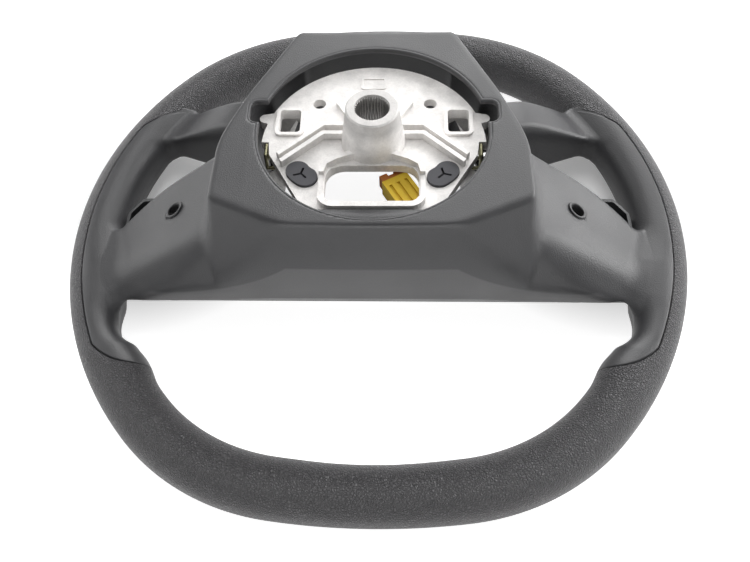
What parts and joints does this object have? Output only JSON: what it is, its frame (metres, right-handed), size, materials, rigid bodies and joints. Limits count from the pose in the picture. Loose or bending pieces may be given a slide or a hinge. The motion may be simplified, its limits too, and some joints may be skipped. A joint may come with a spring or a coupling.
{
  "type": "car steering wheel",
  "caption": "Car steering wheel seen from its column side: foam rim, die-cast armature with splined hub, moulded rear cover and switch pods, without its airbag module.",
  "frame": {"origin": "centre of the splined hub bore at the column-side face of the hub boss", "axes": "+Z points along the bore to the steering column, +Y to 12 o'clock, +X to the right seen from the column; the wheel lies on its driver side"},
  "size_m": [0.3594, 0.353, 0.1119],
  "materials": {
    "cast_metal": "as cast, matt, light grey",
    "rim_skin": "soft foam skin with a pebble grain",
    "cover_plastic": "fine grain, dark grey",
    "trim_plastic": "fine grain, near black",
    "inner_plastic": "smooth, black",
    "mat_rubber": "smooth, light grey",
    "board": "green board",
    "button_plastic": "smooth, black",
    "bush_rubber": "smooth, dark grey",
    "spring_wire": "dull olive coating",
    "connector_yellow": "smooth, yellow",
    "lock_orange": "smooth, orange brown",
    "clip_plastic": "smooth, black",
    "screw_steel": "zinc plated"
  },
  "bodies": {
    "wheel": {"armature": "cast_metal", "rim_foam": "rim_skin", "rear_cover": "cover_plastic", "front_bezel": "trim_plastic", "left_pod": "trim_plastic", "right_pod": "trim_plastic", "left_pod_back": "inner_plastic", "right_pod_back": "inner_plastic", "left_key_mat": "mat_rubber", "right_key_mat": "mat_rubber", "left_switch_board": "board", "right_switch_board": "board", "left_bar_trim": "trim_plastic", "right_bar_trim": "trim_plastic", "left_guide_bush": "bush_rubber", "right_guide_bush": "bush_rubber", "left_retaining_spring": "spring_wire", "right_retaining_spring": "spring_wire", "airbag_connector": "connector_yellow", "connector_lock": "lock_orange", "connector_clip": "clip_plastic", "cover_screws": "screw_steel", "pod_screws": "screw_steel"},
    "left_upper_button": {"left_upper_button": "button_plastic"},
    "left_lower_button": {"left_lower_button": "button_plastic"},
    "left_rocker": {"left_rocker": "button_plastic"},
    "right_upper_button": {"right_upper_button": "button_plastic"},
    "right_lower_button": {"right_lower_button": "button_plastic"},
    "right_rocker": {"right_rocker": "button_plastic"}
  },
  "joints": [
    {"name": "left_upper_button_press", "type": "slide", "parent": "wheel", "child": "left_upper_button", "axis": [0, 0, 1], "range_m": [0, 0.001], "stiffness_N_per_m": 1500, "springref_m": -0.0005},
    {"name": "left_lower_button_press", "type": "slide", "parent": "wheel", "child": "left_lower_button", "axis": [0, 0, 1], "range_m": [0, 0.001], "stiffness_N_per_m": 1500, "springref_m": -0.0005},
    {"name": "left_rocker_tilt", "type": "hinge", "parent": "wheel", "child": "left_rocker", "pos_m": [-0.122, -0.026, -0.0976], "axis": [1, 0, 0], "range_deg": [-3, 3], "stiffness_Nm_per_rad": 0.6},
    {"name": "right_upper_button_press", "type": "slide", "parent": "wheel", "child": "right_upper_button", "axis": [0, 0, 1], "range_m": [0, 0.001], "stiffness_N_per_m": 1500, "springref_m": -0.0005},
    {"name": "right_lower_button_press", "type": "slide", "parent": "wheel", "child": "right_lower_button", "axis": [0, 0, 1], "range_m": [0, 0.001], "stiffness_N_per_m": 1500, "springref_m": -0.0005},
    {"name": "right_rocker_tilt", "type": "hinge", "parent": "wheel", "child": "right_rocker", "pos_m": [0.122, -0.026, -0.0976], "axis": [1, 0, 0], "range_deg": [-3, 3], "stiffness_Nm_per_rad": 0.6}
  ]
}
